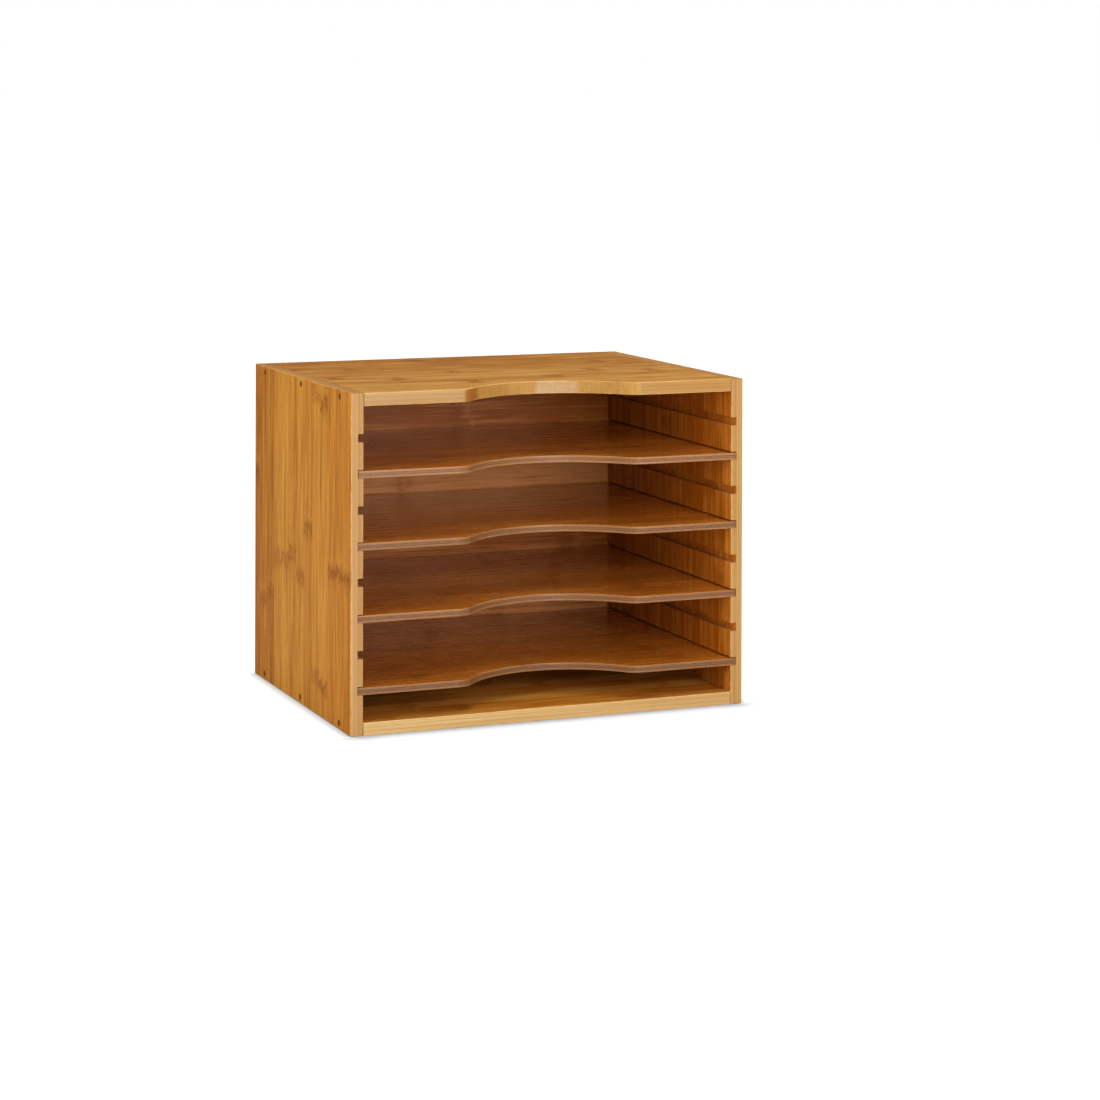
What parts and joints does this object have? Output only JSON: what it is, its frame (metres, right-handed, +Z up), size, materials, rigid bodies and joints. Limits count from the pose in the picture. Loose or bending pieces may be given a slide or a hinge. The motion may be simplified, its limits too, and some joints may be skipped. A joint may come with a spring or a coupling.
{
  "type": "letter tray",
  "caption": "Open-fronted bamboo letter tray: a glued case with grooved sides, a back, a finger cut-out in the top, and loose shelves that slide in the grooves.",
  "frame": {"origin": "centre of the underside, on the desk", "axes": "+Z up, -Y out of the open front, +X to the right of someone facing the front"},
  "size_m": [0.33, 0.25, 0.26],
  "materials": {
    "bamboo_case": "honey-coloured laminated bamboo board, clear satin lacquer",
    "bamboo_back": "thinner laminated bamboo board, clear satin lacquer",
    "bamboo_shelf": "bamboo ply shelf board, clear gloss lacquer on the faces",
    "pin_wood": "dark brown end grain of a round pin"
  },
  "bodies": {
    "case": {"left_side_panel": "bamboo_case", "right_side_panel": "bamboo_case", "top_panel": "bamboo_case", "bottom_panel": "bamboo_case", "back_panel": "bamboo_back", "left_top_pins": "pin_wood", "left_bottom_pins": "pin_wood", "right_top_pins": "pin_wood", "right_bottom_pins": "pin_wood"},
    "shelf_1": {"shelf_1": "bamboo_shelf"},
    "shelf_2": {"shelf_2": "bamboo_shelf"},
    "shelf_3": {"shelf_3": "bamboo_shelf"},
    "shelf_4": {"shelf_4": "bamboo_shelf"}
  },
  "joints": [
    {"name": "shelf_1_slide", "type": "slide", "parent": "case", "child": "shelf_1", "axis": [0, -1, 0], "range_m": [0, 0.26]},
    {"name": "shelf_2_slide", "type": "slide", "parent": "case", "child": "shelf_2", "axis": [0, -1, 0], "range_m": [0, 0.26]},
    {"name": "shelf_3_slide", "type": "slide", "parent": "case", "child": "shelf_3", "axis": [0, -1, 0], "range_m": [0, 0.26]},
    {"name": "shelf_4_slide", "type": "slide", "parent": "case", "child": "shelf_4", "axis": [0, -1, 0], "range_m": [0, 0.26]}
  ]
}
